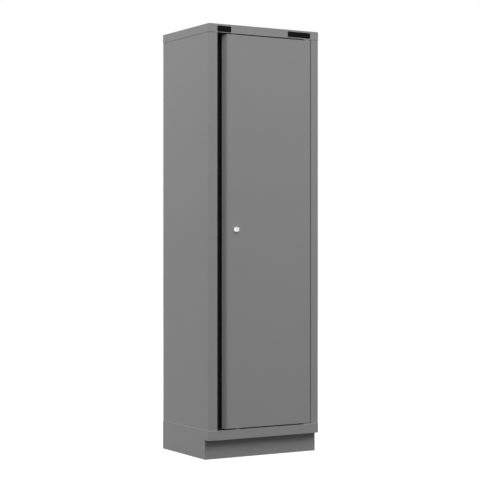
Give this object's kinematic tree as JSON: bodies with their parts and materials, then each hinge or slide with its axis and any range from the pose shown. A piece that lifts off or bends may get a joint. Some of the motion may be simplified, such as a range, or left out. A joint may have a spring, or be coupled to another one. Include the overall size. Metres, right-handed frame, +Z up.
{
  "type": "tool chest side locker",
  "caption": "Tall grey sheet-steel side locker with one hinged door, a full-height finger pull beside it, a key lock with locking rods, adjustable shelves and a set-back plinth.",
  "frame": {"origin": "centre of the footprint on the floor", "axes": "+Z up, the door faces -Y, +X to the right as seen from in front"},
  "size_m": [0.6, 0.4684, 2],
  "materials": {
    "grey_paint": "fine-textured grey powder coat, satin",
    "black_channel": "black extrusion, matt",
    "black_rubber": "soft black rubber",
    "zinc_steel": "bright zinc plate",
    "lock_chrome": "bright chrome",
    "nylon": "natural nylon",
    "badge_black": "gloss black, blank",
    "foot_plastic": "black moulded plastic"
  },
  "bodies": {
    "carcass": {"left_side_panel": "grey_paint", "right_side_panel": "grey_paint", "back_panel": "grey_paint", "floor_tray": "grey_paint", "ceiling_tray": "grey_paint", "top_cap": "grey_paint", "base_skirt": "grey_paint", "toe_kick_panel": "grey_paint", "plinth_rear_rail": "grey_paint", "left_foot_rail": "grey_paint", "right_foot_rail": "grey_paint", "foot_nuts": "zinc_steel", "finger_pull_channel": "black_channel", "door_seal_strip": "black_rubber", "bottom_hinge_plate": "zinc_steel", "top_hinge_plate": "zinc_steel", "bottom_hinge_pin": "zinc_steel", "top_hinge_pin": "zinc_steel", "upper_rod_keeper": "zinc_steel", "lower_rod_keeper": "zinc_steel", "shelf_upright_front_left": "grey_paint", "shelf_upright_front_right": "grey_paint", "shelf_upright_rear_left": "grey_paint", "shelf_upright_rear_right": "grey_paint", "shelf_clips": "zinc_steel", "left_badge": "badge_black", "right_badge": "badge_black"},
    "door": {"door_skin": "grey_paint", "door_inner_pan": "grey_paint", "door_stiffener": "grey_paint", "top_hinge_bush": "nylon", "bottom_hinge_bush": "nylon", "lock_housing": "lock_chrome", "lock_nut": "zinc_steel", "rod_guides": "zinc_steel"},
    "lock": {"lock_plug": "lock_chrome", "lock_cam": "zinc_steel", "cam_screw": "zinc_steel"},
    "upper_rod": {"upper_locking_rod": "zinc_steel"},
    "lower_rod": {"lower_locking_rod": "zinc_steel"},
    "shelf_1": {"shelf_1": "grey_paint"},
    "shelf_2": {"shelf_2": "grey_paint"},
    "shelf_3": {"shelf_3": "grey_paint"},
    "shelf_4": {"shelf_4": "grey_paint"},
    "foot_front_left": {"foot_stud_front_left": "zinc_steel", "foot_pad_front_left": "foot_plastic"},
    "foot_front_right": {"foot_stud_front_right": "zinc_steel", "foot_pad_front_right": "foot_plastic"},
    "foot_rear_left": {"foot_stud_rear_left": "zinc_steel", "foot_pad_rear_left": "foot_plastic"},
    "foot_rear_right": {"foot_stud_rear_right": "zinc_steel", "foot_pad_rear_right": "foot_plastic"}
  },
  "joints": [
    {"name": "door_hinge", "type": "hinge", "parent": "carcass", "child": "door", "pos_m": [0.2379, -0.2209, 1.0475], "axis": [0, 0, 1], "range_deg": [0, 110]},
    {"name": "lock_turn", "type": "hinge", "parent": "door", "child": "lock", "pos_m": [-0.1544, -0.2289, 1.0575], "axis": [0, 1, 0], "range_deg": [0, 90]},
    {"name": "upper_rod_slide", "type": "slide", "parent": "door", "child": "upper_rod", "axis": [0, 0, 1], "range_m": [0, 0.01838]},
    {"name": "lower_rod_slide", "type": "slide", "parent": "door", "child": "lower_rod", "axis": [0, 0, -1], "range_m": [0, 0.0184]},
    {"name": "shelf_1_lift", "type": "slide", "parent": "carcass", "child": "shelf_1", "axis": [0, 0, 1], "range_m": [0, 0.03]},
    {"name": "shelf_2_lift", "type": "slide", "parent": "carcass", "child": "shelf_2", "axis": [0, 0, 1], "range_m": [0, 0.03]},
    {"name": "shelf_3_lift", "type": "slide", "parent": "carcass", "child": "shelf_3", "axis": [0, 0, 1], "range_m": [0, 0.03]},
    {"name": "shelf_4_lift", "type": "slide", "parent": "carcass", "child": "shelf_4", "axis": [0, 0, 1], "range_m": [0, 0.03]},
    {"name": "foot_front_left_screw", "type": "slide", "parent": "carcass", "child": "foot_front_left", "axis": [0, 0, -1], "range_m": [0, 0.02]},
    {"name": "foot_front_right_screw", "type": "slide", "parent": "carcass", "child": "foot_front_right", "axis": [0, 0, -1], "range_m": [0, 0.02]},
    {"name": "foot_rear_left_screw", "type": "slide", "parent": "carcass", "child": "foot_rear_left", "axis": [0, 0, -1], "range_m": [0, 0.02]},
    {"name": "foot_rear_right_screw", "type": "slide", "parent": "carcass", "child": "foot_rear_right", "axis": [0, 0, -1], "range_m": [0, 0.02]}
  ],
  "couplings": [
    {"joint": "lock_turn", "follows": "upper_rod_slide", "rad_per_m": 85.46},
    {"joint": "lower_rod_slide", "follows": "upper_rod_slide", "ratio": 1}
  ]
}
